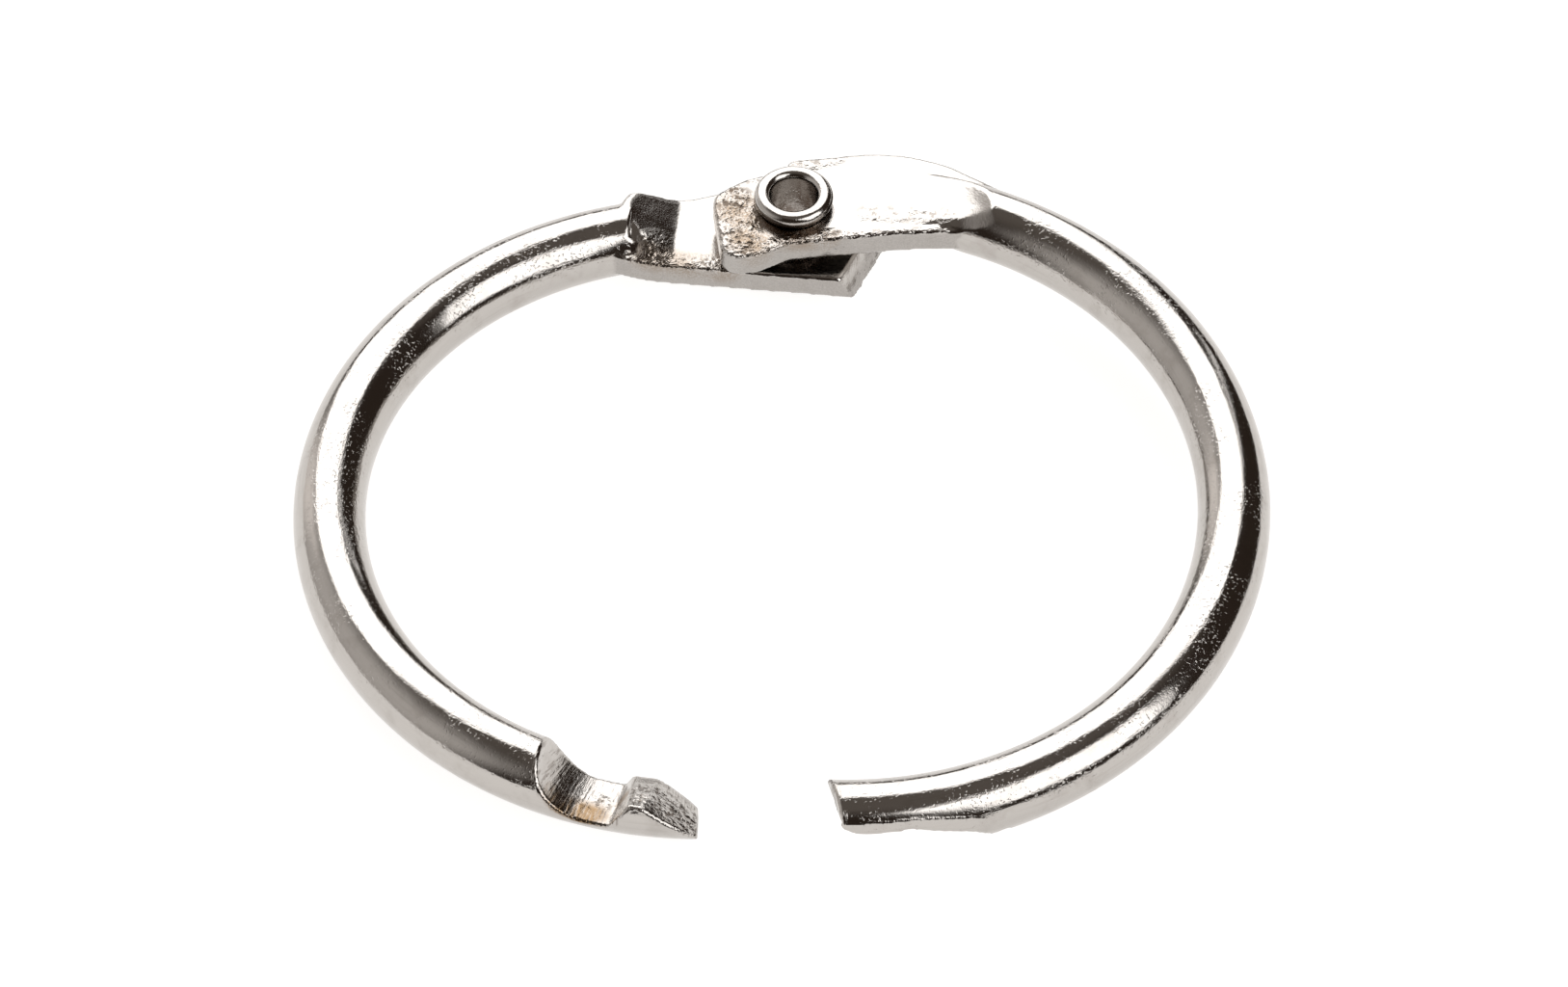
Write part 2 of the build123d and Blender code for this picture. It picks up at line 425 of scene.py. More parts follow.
    def _roughness(
        self, marks: dict[Mark, Socket], grain: PlateGrain, worked: Socket, stained_and_shaded: Socket
    ) -> Socket:
        """Dulls the polish in streaks and where the plate is worked, stained, or darkened with
        painted shade.

        Args:
            marks: the mesh's attributes.
            grain: the patterns.
            worked: how worked the plate is, from 0 to 1.
            stained_and_shaded: how much staining and painted shade it has.

        Returns:
            The roughness.
        """
        return (
            self.polish
            + grain.drawn.step(*self.streak_span) * self.streak_roughness
            + (worked - marks[Mark.HAMMERED]).most(0.0) * grain.across * self.worked_roughness
            + stained_and_shaded * self.stain_and_shade_roughness
            + marks[Mark.SHEARED] * self.sheared_roughness
        )

    def _height(self, marks: dict[Mark, Socket], grain: PlateGrain, worked: Socket) -> Socket:
        """Adds up the grit, pits, drawn lines, hammer lumps and scrapes.

        Args:
            marks: the mesh's attributes.
            grain: the patterns.
            worked: how worked the plate is, from 0 to 1.

        Returns:
            The height in millimetres.
        """
        plain = 1.0 - worked
        hammered = marks[Mark.HAMMERED]
        pitted = (self.pit_share + grain.patch) * plain + hammered + marks[Mark.SHEARED]
        return (
            grain.fine * (self.grit_depth * (self.grit_share * (1.0 + grain.patch) + worked))
            - grain.pit * (self.pit_depth * pitted)
            + grain.drawn * (self.drawn_depth * plain * (self.drawn_share + grain.patch))
            + grain.ragged * (self.ragged_depth * plain * (self.ragged_share + grain.patch))
            + grain.lump * (self.hammer_depth * (hammered + worked * self.hammer_share))
            + grain.across * (self.scrape_depth * (marks[Mark.LAP] - hammered).most(0.0))
        )


@dataclass(frozen=True)
class PaleFloor:
    """A pale matt floor that glows a little, so that it looks as white as the backdrop."""

    colour: Colour = (0.30, 0.30, 0.30)
    roughness: float = 0.9
    specular: float = 0.0
    glow_colour: Colour = (1.0, 0.985, 0.97)
    glow: float = 0.91

    def material(self, name: str) -> bpy.types.Material:
        """Builds the finish.

        Args:
            name: the material's name.

        Returns:
            The floor's material.
        """
        made, graph = new_material(name)
        graph.dress({
            "Base Color": (*self.colour, 1.0),
            "Roughness": self.roughness,
            "Specular IOR Level": self.specular,
            "Emission Color": (*self.glow_colour, 1.0),
            "Emission Strength": self.glow,
        })
        return made


def fade(values: np.ndarray, nothing: float, whole: float) -> np.ndarray:
    """Fades straight from 0 to 1.

    Args:
        values: the numbers to judge by.
        nothing: number at which the result is 0.
        whole: number at which the result is 1. It may be less than nothing.

    Returns:
        The share at each value.
    """
    return np.clip((values - nothing) / (whole - nothing), 0.0, 1.0)


def ripples(points: np.ndarray, size: float, seed: float) -> np.ndarray:
    """Lumpy noise of about -1 to 1.

    Args:
        points: places in millimetres.
        size: width of a lump.
        seed: shifts the pattern.

    Returns:
        The noise at each point.
    """
    return np.array([noise.noise(Vector(p) / size + Vector((seed, 0, 0))) for p in points])


@dataclass
class FineMesh:
    """Points and faces of a mesh, in millimetres, with the sums that shaping needs.

    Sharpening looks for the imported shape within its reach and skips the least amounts.
    """

    points: np.ndarray
    faces: np.ndarray
    edges: np.ndarray
    shape: BVHTree | None = None
    wear_step: float = 0.6
    sharpen_reach: float = 0.12
    least_amount: float = 0.01

    @classmethod
    def evenly_from(cls, node: bpy.types.Object, cell: float) -> "FineMesh":
        """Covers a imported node's shape with an even mesh.

        Args:
            node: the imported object, which stays as it is.
            cell: length of a face's side, in millimetres.

        Returns:
            The even mesh.
        """
        mesh = node.data.copy()
        places = np.empty(len(mesh.vertices) * 3)
        mesh.vertices.foreach_get("co", places)
        mesh.vertices.foreach_set("co", places / MM)
        shape = BVHTree.FromPolygons(
            [vertex.co.copy() for vertex in mesh.vertices],
            [tuple(face.vertices) for face in mesh.polygons],
        )
        rough = bpy.data.objects.new("rough shape", mesh)
        bpy.context.scene.collection.objects.link(rough)
        even = rough.modifiers.new("even mesh", "REMESH")
        even.mode = "VOXEL"
        even.voxel_size = cell
        even.adaptivity = 0.0
        seen = rough.evaluated_get(bpy.context.evaluated_depsgraph_get())
        result = bpy.data.meshes.new_from_object(seen)
        points = np.empty(len(result.vertices) * 3)
        result.vertices.foreach_get("co", points)
        edges = np.empty(len(result.edges) * 2, dtype=np.int64)
        result.edges.foreach_get("vertices", edges)
        corners = np.empty(len(result.loops), dtype=np.int64)
        result.loops.foreach_get("vertex_index", corners)
        bpy.data.objects.remove(rough)
        bpy.data.meshes.remove(mesh)
        bpy.data.meshes.remove(result)
        return cls(points.reshape(-1, 3), corners.reshape(-1, 4), edges.reshape(-1, 2), shape)

    def averaged(self, values: np.ndarray) -> np.ndarray:
        """Mean of each point's neighbours.

        Args:
            values: one number or one row to a point.

        Returns:
            The means, in the same shape.
        """
        first, second = self.edges.T
        count = len(self.points)
        degree = np.bincount(first, minlength=count) + np.bincount(second, minlength=count)
        columns = values.reshape(count, -1)
        sums = [
            np.bincount(first, column[second], count) + np.bincount(second, column[first], count)
            for column in columns.T
        ]
        return (np.stack(sums, axis=1) / degree[:, None]).reshape(values.shape)

    def spread(self, values: np.ndarray, rounds: int) -> np.ndarray:
        """Evens values out over neighbours.

        Args:
            values: one number or one row to a point.
            rounds: how many times.

        Returns:
            The evened values.
        """
        for _ in range(rounds):
            values = (values + self.averaged(values)) / 2
        return values

    def normals(self) -> np.ndarray:
        """Sums up the faces around each point.

        Returns:
            The unit normal at each point.
        """
        a, b, c, d = (self.points[self.faces[:, i]] for i in range(4))
        across = np.cross(c - a, d - b)
        total = np.zeros_like(self.points)
        for i in range(4):
            np.add.at(total, self.faces[:, i], across)
        return total / np.linalg.norm(total, axis=1, keepdims=True)

    def soften(self, amount: np.ndarray, rounds: int) -> None:
        """Wears edges down.

        Args:
            amount: 0 to 1 at each point.
            rounds: how many times each point moves towards its neighbours.
        """
        for _ in range(rounds):
            towards = self.averaged(self.points) - self.points
            self.points += towards * (amount[:, None] * self.wear_step)

    def sharpen(self, amount: np.ndarray) -> None:
        """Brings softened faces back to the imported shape, so that they end in crisp edges.

        Args:
            amount: 0 to 1 at each point.
        """
        for i in np.flatnonzero(amount > self.least_amount):
            found = self.shape.find_nearest(Vector(self.points[i]), self.sharpen_reach)[0]
            if found is not None:
                self.points[i] += (np.array(found) - self.points[i]) * amount[i]

    def to_object(
        self,
        name: str,
        normals: np.ndarray,
        marks: dict[str, np.ndarray],
        material: bpy.types.Material,
    ) -> bpy.types.Object:
        """Writes the mesh in metres.

        Args:
            name: the object's name.
            normals: unit normal at each point.
            marks: attributes, one number or one vector to a point.
            material: its finish.

        Returns:
            The new object, linked to the scene.
        """
        mesh = bpy.data.meshes.new(name)
        mesh.from_pydata((self.points * MM).tolist(), [], self.faces.tolist())
        for title, values in marks.items():
            kind, key = ("FLOAT", "value") if values.ndim == 1 else ("FLOAT_VECTOR", "vector")
            layer = mesh.attributes.new(title, kind, "POINT")
            layer.data.foreach_set(key, values.astype(np.float32).ravel())
        mesh.materials.append(material)
        mesh.shade_smooth()
        mesh.normals_split_custom_set_from_vertices(normals.tolist())
        made = bpy.data.objects.new(name, mesh)
        bpy.context.scene.collection.objects.link(made)
        return made


@dataclass(frozen=True)
class Strip:
    """A worn or stained strip between two places, in millimetres at rest.

    It is whole within half its reach and fades out at its reach.
    """

    mark: Mark
    start: Point
    end: Point
    reach: float
    strength: float = 1.0

    def weight(self, points: np.ndarray) -> np.ndarray:
        """Works out how strongly the strip marks each point.

        Args:
            points: places in millimetres.

        Returns:
            The strength, from 0 to 1.
        """
        start, run = np.array(self.start), np.array(self.end) - np.array(self.start)
        share = fade((points - start) @ run, 0.0, run @ run)
        away = np.linalg.norm(points - start - share[:, None] * run, axis=1)
        return fade(away, self.reach, self.reach / 2) * self.strength


@dataclass(frozen=True)
class Shoulder:
    """The straight slope that the press left where the wire meets the tongue.

    Its lean is in degrees. It runs towards -x, and narrows to the wire over its last stretch.
    """

    lean: float
    start: float = -4.45
    narrow_from: float = -5.6
    end: float = -6.6
    slope: float = 0.43
    half_width: float = 2.2
    wire_radius: float = 1.35
    face: float = 0.5
    lowest: float = 0.45
    least_lift: float = 0.01

    def straighten(self, points: np.ndarray) -> np.ndarray:
        """Lifts the rounded shoulder to the straight slope.

        Args:
            points: places in millimetres, moved in place.

        Returns:
            True at each point that moved.
        """
        lean = math.radians(self.lean)
        x = points[:, 0] * math.cos(lean) + points[:, 1] * math.sin(lean)
        y = points[:, 1] * math.cos(lean) - points[:, 0] * math.sin(lean)
        on_top = (points[:, 2] > self.lowest) & (x < self.start) & (x > self.end)
        narrowed = fade(x, self.narrow_from, self.end)
        width = self.half_width - (self.half_width - self.wire_radius) * narrowed
        crown = self.wire_radius * np.sqrt(np.clip(1.0 - (y / width) ** 2, 0.0, 1.0))
        slope = np.minimum(self.face + (self.start - x) * self.slope, crown)
        moved = on_top & (slope > points[:, 2] + self.least_lift)
        points[moved, 2] = slope[moved]
        return moved


@dataclass(frozen=True)
class Bevel:
    """A sloping face on the inner side of a shoulder, where it runs out into the round wire.

    It tilts from its corner, runs out steeply to both sides, and stays within its half sizes.
    """

    corner: Point
    rise_right: float = 0.144
    rise_back: float = 0.51
    right_end: float = 6.4
    right_run_out: float = 0.26
    left_run_out: float = 2.0
    lowest: float = 1.5
    half_length: float = 3.0
    half_width: float = 2.0

    def cut(self, points: np.ndarray) -> np.ndarray:
        """Lowers what stands above the bevel.

        Args:
            points: places in millimetres, moved in place.

        Returns:
            True at each point that moved.
        """
        away = points - np.array(self.corner)
        height = self.corner[2] + away[:, 0] * self.rise_right + away[:, 1] * self.rise_back
        height += self.right_run_out * np.maximum(points[:, 0] - self.right_end, 0.0)
        height += self.left_run_out * np.maximum(-away[:, 0], 0.0)
        moved = (points[:, 2] > height) & (points[:, 2] > self.lowest)
        moved &= (abs(away[:, 0]) < self.half_length) & (abs(away[:, 1]) < self.half_width)
        points[moved, 2] = np.maximum(height[moved], self.lowest)
        return moved


@dataclass(frozen=True)
class SideFlat:
    """A flat that the press left along the outer side of a lap.

    It is whole near the lap's end and gone further along the wire. Its tilt is in degrees.
    """

    whole_to: float
    gone_by: float
    tilt: float = 15.0
    depth: float = 0.146

    def press(
        self, along: np.ndarray, section: np.ndarray, radius: float
    ) -> tuple[np.ndarray, np.ndarray]:
        """Works out how far each point is pressed in.

        Args:
            along: distance along the wire, in millimetres.
            section: outward and upward place in the wire's section.
            radius: the wire's radius.

        Returns:
            The inward distance at each point, and the flat's outward and upward direction.
        """
        facing = np.array([math.cos(math.radians(self.tilt)), math.sin(math.radians(self.tilt))])
        share = fade(along, self.gone_by, self.whole_to)
        inward = np.maximum(section @ facing - (radius - self.depth * share), 0.0)
        return np.where(share > 0.0, inward, 0.0), facing


@dataclass(frozen=True)
class WireCourse:
    """Where each point of a half lies in its wire, in millimetres.

    Along is measured from the bend's front, section is outward and upward from the wire's
    middle, and thick is the distance from that middle. Radial, outward and up are directions.
    """

    along: np.ndarray
    section: np.ndarray
    thick: np.ndarray
    radial: np.ndarray
    outward: np.ndarray
    up: np.ndarray


@dataclass
class WireHalf:
    """One half of the ring: a bent wire with a flattened tongue at the hinge and a lap.

    Turn is in degrees and the sizes are in millimetres. Rounds are how many times a point moves
    towards its neighbours.
    """

    node: str
    body: str
    material: bpy.types.Material
    turn: float
    lift: float
    drop: float
    reach: float
    bend_radius: float
    marks: tuple[Strip, ...]
    shoulder: Shoulder | None = None
    flat: SideFlat | None = None
    bevel: Bevel | None = None
    wire_radius: float = 1.35
    cell: float = 0.081
    round_within: float = 0.06
    round_facing: float = 0.93
    round_rounds: int = 6
    round_span: Span = (0.80, 0.99)
    wear_rounds: int = 9
    crisp_rounds: int = 2
    crispness: float = 0.75
    least_press: float = 0.004
    flat_rounds: int = 3
    tongue_length: float = 8.0
    lap_place: float = 6.5
    border: float = 1.0
    upward_span: Span = (0.25, 0.60)
    side_span: Span = (0.4, 0.2)
    side_bareness: float = 0.8
    least_mark: float = 0.02
    broad_size: float = 0.9
    broad_seed: float = 3.0
    tight_size: float = 0.3
    tight_seed: float = 11.0

    def axes(self) -> tuple[np.ndarray, np.ndarray]:
        """Places the wire's plane.

        Returns:
            The bend's centre, and the plane's axes as rows.
        """
        turn = math.radians(self.turn)
        tilt = math.asin(self.drop / self.reach)
        x = np.array([math.cos(turn), math.sin(turn), 0.0])
        level_y = np.array([-math.sin(turn), math.cos(turn), 0.0])
        up = np.array([0.0, 0.0, 1.0])
        y = level_y * math.cos(tilt) + up * math.sin(tilt)
        z = up * math.cos(tilt) - level_y * math.sin(tilt)
        origin = np.array([0.0, 0.0, self.lift + self.drop])
        return origin + y * (self.bend_radius - self.reach), np.stack([x, y, z])

    def build(self) -> bpy.types.Object:
        """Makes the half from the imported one.

        Returns:
            The finished object, riding on its body.
        """
        mesh = FineMesh.evenly_from(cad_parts[self.node], self.cell)
        course = self._course(mesh.points)
        wire, flattened = self._shape(mesh, course)
        marks = self._mark(mesh, course, wire, flattened)
        self._hammer(mesh, marks)
        upright = fade(abs(mesh.normals()[:, 2]), *self.side_span)
        bare = np.minimum(upright, self.side_bareness) * marks[Mark.PRESSED]
        marks[Mark.SHEARED] = np.maximum(marks[Mark.SHEARED], bare)
        normals = mesh.spread(mesh.normals(), self.crisp_rounds) * (1 - wire)[:, None]
        normals += course.outward * wire[:, None]
        normals /= np.linalg.norm(normals, axis=1, keepdims=True)
        attributes = {mark.value: values for mark, values in marks.items()}
        attributes[WIRE_PLACE] = np.column_stack([course.along, course.section])
        made = mesh.to_object(self.node + "_plated", normals, attributes, self.material)
        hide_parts(self.node)
        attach(made, self.body)
        log.info("%s: %d faces", made.name, len(mesh.faces))
        return made

    def _course(self, points: np.ndarray) -> WireCourse:
        """Finds where each point lies in the wire.

        Args:
            points: places in millimetres.

        Returns:
            Their places along and across the wire.
        """
        centre, axes = self.axes()
        local = (points - centre) @ axes.T
        ring = np.linalg.norm(local[:, :2], axis=1)
        section = np.stack([ring - self.bend_radius, local[:, 2]], axis=1)
        thick = np.linalg.norm(section, axis=1)
        radial = (local * np.array([1, 1, 0]) / ring[:, None]) @ axes
        return WireCourse(
            along=np.arctan2(local[:, 0], -local[:, 1]) * self.bend_radius,
            section=section,
            thick=thick,
            radial=radial,
            outward=(radial * section[:, :1] + axes[2] * section[:, 1:]) / thick[:, None],
            up=axes[2],
        )

    def _shape(self, mesh: FineMesh, course: WireCourse) -> tuple[np.ndarray, np.ndarray]:
        """Makes the wire exactly round, presses the flats and wears the edges down.

        Args:
            mesh: the half's mesh, moved in place.
            course: where its points lie in the wire.

        Returns:
            How far each point belongs to the round wire, from 0 to 1, and True at each point of
            the side flat.
        """
        facing = np.einsum("ij,ij->i", course.outward, mesh.normals())
        proud = course.thick - self.wire_radius
        on_wire = (abs(proud) < self.round_within) & (facing > self.round_facing)
        mesh.points -= course.outward * (proud * on_wire)[:, None]
        moved, flattened = self._press(mesh, course)
        whole = mesh.spread((on_wire & ~moved).astype(float), self.round_rounds)
        wire = fade(whole, *self.round_span)
        mesh.soften(1.0 - wire, self.wear_rounds)
        crisp = mesh.spread((1.0 - wire) * ~moved, self.crisp_rounds)
        mesh.sharpen(crisp * self.crispness)
        return wire, flattened

    def _press(self, mesh: FineMesh, course: WireCourse) -> tuple[np.ndarray, np.ndarray]:
        """Presses the half's own side flat, bevel and shoulder.

        Args:
            mesh: the half's mesh, moved in place.
            course: where its points lie in the wire.

        Returns:
            True at each point that moved, and True at each point of the side flat.
        """
        flattened = np.zeros(len(mesh.points), dtype=bool)
        if self.flat:
            inward, facing = self.flat.press(course.along, course.section, self.wire_radius)
            direction = course.radial * facing[0] + course.up * facing[1]
            mesh.points -= direction * inward[:, None]
            flattened = inward > self.least_press
        moved = flattened.copy()
        if self.bevel:
            moved |= self.bevel.cut(mesh.points)
        if self.shoulder:
            moved |= self.shoulder.straighten(mesh.points)
        return moved, flattened

    def _mark(
        self, mesh: FineMesh, course: WireCourse, wire: np.ndarray, flattened: np.ndarray
    ) -> dict[Mark, np.ndarray]:
        """Works out where the half was pressed, scraped, hammered and stained.

        Args:
            mesh: the half's mesh.
            course: where its points lie in the wire.
            wire: how far each point belongs to the round wire.
            flattened: True at each point of the side flat.

        Returns:
            Each mark's strength at each point, from 0 to 1.
        """
        worked = 1.0 - wire
        from_hinge = np.linalg.norm(mesh.points[:, :2], axis=1)
        at_hinge = fade(from_hinge, self.tongue_length, self.tongue_length - self.border)
        at_latch = fade(abs(course.along), self.lap_place, self.lap_place - self.border)
        at_latch *= 1 - at_hinge
        on_flat = mesh.spread(flattened.astype(float), self.flat_rounds)
        marks = {mark: np.zeros(len(mesh.points)) for mark in Mark}
        marks[Mark.PRESSED] = worked * at_hinge
        marks[Mark.LAP] = worked * at_latch * (1 - on_flat)
        upward = fade(mesh.normals()[:, 2], *self.upward_span)
        for strip in self.marks:
            weight = strip.weight(mesh.points) * worked
            if strip.mark is Mark.HAMMERED:
                weight *= upward
            marks[strip.mark] = np.maximum(marks[strip.mark], weight)
        return marks

    def _hammer(self, mesh: FineMesh, marks: dict[Mark, np.ndarray]) -> None:
        """Roughens the worked faces. On a pressed face the tight lumps stay on its sides.

        Args:
            mesh: the half's mesh, moved in place.
            marks: where it was worked.
        """
        touched = np.flatnonzero(sum(marks.values()) > self.least_mark)
        places = mesh.points[touched]
        normals = mesh.normals()[touched]
        broad = ripples(places, self.broad_size, self.broad_seed)
        tight = ripples(places, self.tight_size, self.tight_seed)
        depth = np.zeros(len(touched))
        for mark, (broad_height, tight_height) in LUMP_HEIGHTS.items():
            upright = 1.0 - abs(normals[:, 2]) if mark is Mark.PRESSED else 1.0
            lumps = broad * broad_height + tight * upright * tight_height
            depth += marks[mark][touched] * lumps
        mesh.points[touched] += normals * depth[:, None]


@dataclass
class Eyelet:
    """The hollow rivet that the halves turn on, with a rolled head and a clinched flare.

    Sizes are in millimetres. The rolled ends are what lies beyond the shank's half length.
    """

    node: str
    body: str
    material: bpy.types.Material
    bore_radius: float = 0.9
    shank_radius: float = 1.15
    head_radius: float = 1.5
    head_seat: float = 2.08
    head_top: float = 2.70
    clinch_radius: float = 1.55
    clinch_seat: float = -0.53
    clinch_bottom: float = -1.03
    rim_rounding: float = 0.28
    mouth_rounding: float = 0.24
    under_inset: float = 0.1
    under_rise: float = 0.04
    seat_inset: float = 0.16
    arc_step: float = 7.5
    mouth_points: int = 13
    rim_points: int = 17
    wall_points: int = 12
    segments: int = 160
    shank_middle: float = 0.8
    shank_half: float = 1.4
    lump_size: float = 0.7
    lump_seed: float = 5.0
    lump_height: float = 0.015
    wear_depth: float = 0.008
    wear: float = 0.4
    bore_margin: float = 0.05
    # Painted shade in the bore, darker deeper down and on its left, and a painted contact shadow
    # with some staining low on the rims' sides.
    bore_shade_heights: Span = (2.3, 1.3)
    bore_shade_sides: Span = (0.75, -0.5)
    rim_shadow_and_stain_heights: Span = (2.55, 2.3)

    def _rolled(self, radius: float, seat: float, face: float) -> list[tuple[float, float]]:
        """Section of one rolled end.

        Args:
            radius: its outer radius.
            seat: height of the side that holds the tongues.
            face: height of its outer face.

        Returns:
            Radius and height of each point, from the bore to the shank.
        """
        side = math.copysign(1.0, face - seat)
        section = []
        for i in range(self.mouth_points):
            t = math.radians(self.arc_step * i)
            section.append((
                self.bore_radius + self.mouth_rounding * (1 - math.cos(t)),
                face - side * self.mouth_rounding * (1 - math.sin(t)),
            ))
        for i in range(self.rim_points):
            t = math.radians(90 - self.arc_step * i)
            section.append((
                radius - self.rim_rounding * (1 - math.cos(t)),
                face - side * self.rim_rounding * (1 - math.sin(t)),
            ))
        section.append((radius - self.under_inset, seat + side * self.under_rise))
        section.append((radius - self.seat_inset, seat))
        section.append((self.shank_radius, seat))
        return section

    def _turned(self) -> FineMesh:
        """Turns the eyelet's section about its axis.

        Returns:
            The smooth mesh.
        """
        top = self._rolled(self.head_radius, self.head_seat, self.head_top)
        bottom = self._rolled(self.clinch_radius, self.clinch_seat, self.clinch_bottom)
        heights = np.linspace(bottom[0][1], top[0][1], self.wall_points + 2)[1:-1]
        wall = np.column_stack([np.full(self.wall_points, self.bore_radius), heights])
        section = np.vstack([np.array(top + bottom[::-1]), wall])
        count = len(section)
        turn = np.linspace(0, 2 * math.pi, self.segments, endpoint=False)
        points = np.stack([
            np.outer(np.cos(turn), section[:, 0]),
            np.outer(np.sin(turn), section[:, 0]),
            np.tile(section[:, 1], (self.segments, 1)),
        ], axis=2).reshape(-1, 3)
        here = np.arange(self.segments)[:, None] * count + np.arange(count)
        after = np.roll(here, -1, axis=0)
        faces = np.stack([
            here, after, np.roll(after, -1, axis=1), np.roll(here, -1, axis=1)
        ], axis=2).reshape(-1, 4)
        edges = np.vstack([
            np.column_stack([here.ravel(), after.ravel()]),
            np.column_stack([here.ravel(), np.roll(here, -1, axis=1).ravel()]),
        ])
        return FineMesh(points, faces, edges)

    def _painted_shade_and_stain(self, points: np.ndarray) -> np.ndarray:
        """Paints shade on the left of the bore and low on the rims' sides, both darker towards the
        bottom: painted shade in the bore, and on the rims' sides a painted contact shadow with some
        staining.

        Args:
            points: places in millimetres.

        Returns:
            The painted shade and staining at each point, from 0 to 1.
        """
        x, y, z = points.T
        in_bore = np.hypot(x, y) < self.bore_radius + self.bore_margin
        bore = fade(z, *self.bore_shade_heights) * fade(x, *self.bore_shade_sides)
        return np.where(in_bore, bore, fade(z, *self.rim_shadow_and_stain_heights))

    def build(self) -> bpy.types.Object:
        """Makes the eyelet.

        Returns:
            The finished object, riding on its body.
        """
        mesh = self._turned()
        rolled = (abs(mesh.points[:, 2] - self.shank_middle) > self.shank_half).astype(float)
        lumps = ripples(mesh.points, self.lump_size, self.lump_seed) * self.lump_height
        mesh.points += mesh.normals() * (rolled * (lumps - self.wear_depth))[:, None]
        attributes = {mark.value: np.zeros(len(mesh.points)) for mark in Mark}
        attributes[Mark.PRESSED.value] = rolled * self.wear
        # Painted shade in the bore and a painted contact shadow on the rims' sides.
        attributes[Mark.STAIN_AND_SHADE.value] = self._painted_shade_and_stain(mesh.points)
        attributes[WIRE_PLACE] = mesh.points
        made = mesh.to_object(self.node + "_plated", mesh.normals(), attributes, self.material)
        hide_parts(self.node)
        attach(made, self.body)
        log.info("%s: %d faces", made.name, len(mesh.faces))
        return made


@dataclass(frozen=True)
class SoftBox:
    """A soft light or a dim wall of the studio, as the ring sees it.

    Azimuth 0 is beyond the ring and 90 to its right. Widths and softness are tangents. The
    horizon is the cosine of the angle off the box's middle, over which its light ends.
    """

    azimuth: float
    elevation: float
    half_width: float
    half_height: float
    radiance: float
    tint: Colour = (1.0, 1.0, 1.0)
    softness: float = 0.12
    horizon: Span = (0.0, 0.1)
    least_depth: float = 0.01

    def light(self, graph: Graph, direction: Socket) -> Socket:
        """Adds the box to the world.

        Args:
            graph: the world's graph.
            direction: where the ray goes.

        Returns:
            Its light as a colour.
        """
        az, el = math.radians(self.azimuth), math.radians(self.elevation)
        facing = (math.sin(az) * math.cos(el), math.cos(az) * math.cos(el), math.sin(el))
        right = (math.cos(az), -math.sin(az), 0.0)
        above = (-math.sin(az) * math.sin(el), -math.cos(az) * math.sin(el), math.cos(el))
        ahead = direction.dot(facing)
        depth = ahead.most(self.least_depth)
        wide = abs(direction.dot(right) / depth)
        high = abs(direction.dot(above) / depth)
        mask = (
            wide.step(self.half_width + self.softness, self.half_width - self.softness)
            * high.step(self.half_height + self.softness, self.half_height - self.softness)
            * ahead.step(*self.horizon)
        )
        return graph.node(
            "ShaderNodeVectorMath",
            {"operation": "SCALE"},
            {0: self.tint, "Scale": mask * self.radiance},
        )


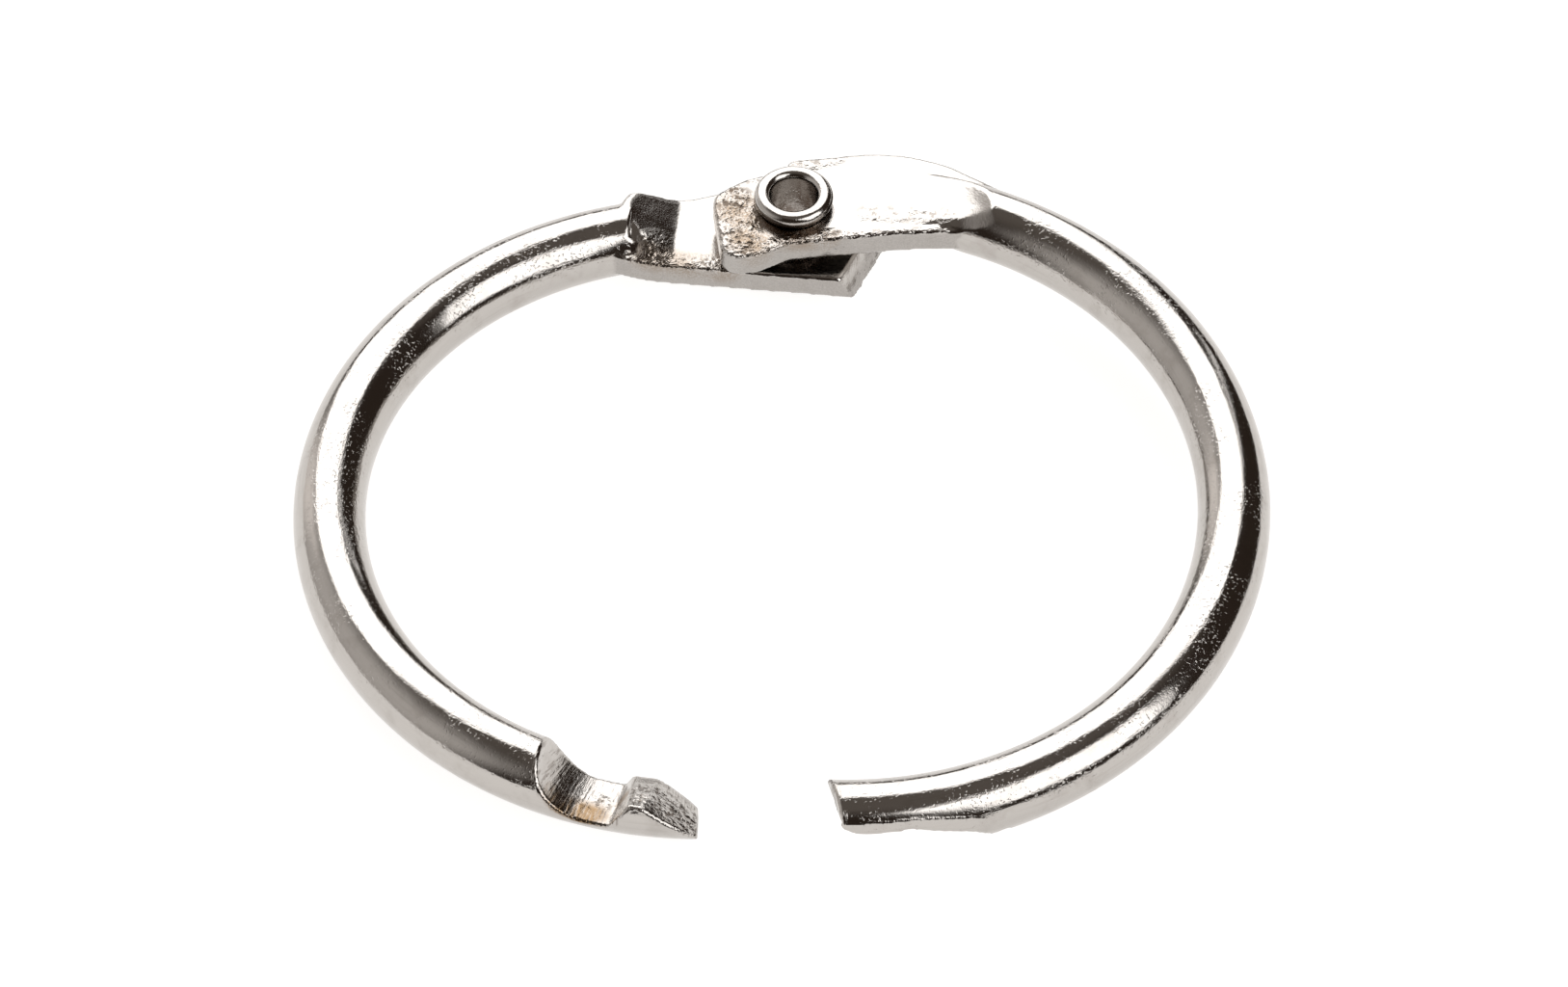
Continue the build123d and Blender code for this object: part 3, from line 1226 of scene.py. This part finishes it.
@dataclass
class Studio:
    """Floor, surrounding light and camera. Distances are in millimetres."""

    lens: float = 163.25
    sensor_width: float = 36.0
    clip_start: float = 10.0
    clip_end: float = 20000.0
    camera_elevation: float = 49.5
    camera_distance: float = 264.9
    aim: Point = (-0.37, -12.82, 0.0)
    floor_height: float = -1.35
    floor_half_side: float = 3000.0
    shade: Colour = (0.036, 0.026, 0.020)
    boxes: tuple[SoftBox, ...] = (
        SoftBox(-8, 37, 0.475, 0.52, 2.6, softness=0.05),
        SoftBox(32, 38, 0.025, 0.45, 1.2, softness=0.015),
        SoftBox(124, 40, 0.42, 0.42, 2.4, softness=0.07),
        SoftBox(-80, 22, 0.95, 0.60, 0.62, (1.0, 0.97, 0.94), 0.5),
        SoftBox(-47, 10, 0.14, 0.35, 0.45, (1.0, 0.95, 0.91), 0.10),
        SoftBox(0, 90, 0.50, 0.50, 0.11, (1.0, 0.92, 0.84), 0.3),
    )

    def build(self) -> None:
        """Lays the floor, lights the world and places the camera."""
        side = self.floor_half_side * MM
        height = self.floor_height * MM
        corners = [(-side, -side), (side, -side), (side, side), (-side, side)]
        mesh = bpy.data.meshes.new("floor")
        mesh.from_pydata([(x, y, height) for x, y in corners], [], [(0, 1, 2, 3)])
        mesh.materials.append(PaleFloor().material("pale_floor"))
        floor = bpy.data.objects.new("floor", mesh)
        bpy.context.scene.collection.objects.link(floor)
        self._light()
        self._camera()
        log.info("studio: %d soft boxes", len(self.boxes))

    def _light(self) -> None:
        """Surrounds the ring with its soft boxes, and shows the camera a plain white backdrop."""
        world = bpy.data.worlds.new("studio")
        world.use_nodes = True
        bpy.context.scene.world = world
        graph = Graph(world.node_tree)
        direction = graph.node("ShaderNodeTexCoord", output="Generated")
        total = graph.node("ShaderNodeCombineXYZ", None, dict(enumerate(self.shade)))
        for box in self.boxes:
            total = total.plus(box.light(graph, direction))
        seen = graph.node("ShaderNodeLightPath", output="Is Camera Ray")
        colour = graph.mix(seen, total, (1.0, 1.0, 1.0))
        shader = graph.node("ShaderNodeBackground", None, {"Color": colour, "Strength": 1.0})
        graph.node("ShaderNodeOutputWorld", None, {"Surface": shader})

    def _camera(self) -> None:
        """Aims the camera down at the ring from the latch's side."""
        lens = bpy.data.cameras.new("camera")
        lens.lens = self.lens
        lens.sensor_width = self.sensor_width
        lens.clip_start = self.clip_start * MM
        lens.clip_end = self.clip_end * MM
        camera = bpy.data.objects.new("camera", lens)
        bpy.context.scene.collection.objects.link(camera)
        rise = math.radians(self.camera_elevation)
        back = Vector((0.0, -math.cos(rise), math.sin(rise)))
        camera.location = (Vector(self.aim) + back * self.camera_distance) * MM
        camera.rotation_mode = "QUATERNION"
        camera.rotation_quaternion = (-back).to_track_quat("-Z", "Y")
        bpy.context.scene.camera = camera
        bpy.context.scene.view_settings.view_transform = "Standard"


# Strips by the left half's hinge, then in its scoop and notch, then on its tooth.
LEFT_MARKS = (
    Strip(Mark.SHEARED, (2.5, -2.6, -0.4), (3.5, -0.4, -0.4), 0.9),
    Strip(Mark.HAMMERED, (-5.9, -1.6, 0.6), (-2.4, -2.1, 0.5), 0.8, 0.8),
    Strip(Mark.HAMMERED, (-5.4, -0.9, 0.8), (-5.2, -0.8, 0.7), 0.7, 0.5),
    Strip(Mark.STAIN_AND_SHADE, (-5.7, -1.4, 0.7), (-2.6, -1.9, 0.5), 0.8, 0.5),
    Strip(Mark.STAIN_AND_SHADE, (-8.5, -27.4, 0.2), (-7.2, -27.8, -0.6), 0.8),
    Strip(Mark.STAIN_AND_SHADE, (-7.2, -27.8, -0.7), (-6.3, -27.8, -0.8), 0.5, 0.8),
    Strip(Mark.STAIN_AND_SHADE, (-6.0, -27.1, -0.2), (-6.1, -27.5, -0.6), 0.45),
    Strip(Mark.HAMMERED, (-7.8, -26.5, 0.4), (-7.3, -27.2, 0.0), 0.9, 0.3),
    Strip(Mark.HAMMERED, (-7.2, -26.4, 0.1), (-6.9, -27.2, -0.4), 0.5, 0.7),
    Strip(Mark.HAMMERED, (-5.0, -27.2, 0.4), (-3.6, -27.8, -0.2), 1.1),
)
# Strips around the right half's tongue and along its shoulder, then on its lap.
RIGHT_MARKS = (
    Strip(Mark.HAMMERED, (-2.3, 0.3, 2.05), (-2.0, -2.2, 2.05), 0.95),
    Strip(Mark.HAMMERED, (-1.9, -2.5, 2.05), (1.7, -1.7, 2.05), 0.5, 0.8),
    Strip(Mark.HAMMERED, (1.7, -1.7, 2.05), (5.6, -1.4, 2.05), 0.35, 0.5),
    Strip(Mark.HAMMERED, (2.8, -0.5, 2.05), (5.9, -0.7, 2.05), 0.5, 0.5),
    Strip(Mark.HAMMERED, (-2.1, 1.3, 2.05), (1.7, 2.5, 2.05), 0.5, 0.6),
    Strip(Mark.STAIN_AND_SHADE, (-2.2, -0.2, 2.05), (-1.6, -1.9, 2.05), 1.1, 0.8),
    # A painted contact shadow in front of the eyelet's foot.
    Strip(Mark.STAIN_AND_SHADE, (-1.2, -1.7, 2.05), (1.2, -1.7, 2.05), 0.7, 0.5),
    Strip(Mark.SHEARED, (1.3, -28.1, 1.4), (1.6, -28.7, 0.9), 0.5),
)


def main() -> None:
    """Builds the ring piece by piece, then the studio around it."""
    logging.basicConfig(level=logging.INFO, format="%(name)s: %(message)s")
    plate = NickelPlate().material("nickel_plate")
    WireHalf(
        node="left_half",
        body="left_half",
        material=plate,
        turn=-14.0,
        lift=0.0,
        drop=0.0,
        reach=27.8,
        bend_radius=13.9,
        shoulder=Shoulder(lean=-6.0),
        marks=LEFT_MARKS,
    ).build()
    WireHalf(
        node="right_half",
        body="right_half",
        material=plate,
        turn=7.4,
        lift=0.35,
        drop=1.2,
        reach=28.5,
        bend_radius=14.5,
        flat=SideFlat(whole_to=0.4, gone_by=3.0),
        bevel=Bevel(corner=(5.9, -1.4, 2.05)),
        marks=RIGHT_MARKS,
    ).build()
    # The eyelet's darker staining colour paints shade in its bore and a contact shadow under its
    # rims, with some real staining.
    stained_and_shaded_plate = NickelPlate(stain_and_shade_colour=(0.10, 0.055, 0.03)).material("stained_and_shaded_nickel_plate")
    Eyelet(node="eyelet", body="eyelet", material=stained_and_shaded_plate).build()
    Studio().build()


if __name__ == "__main__":
    main()
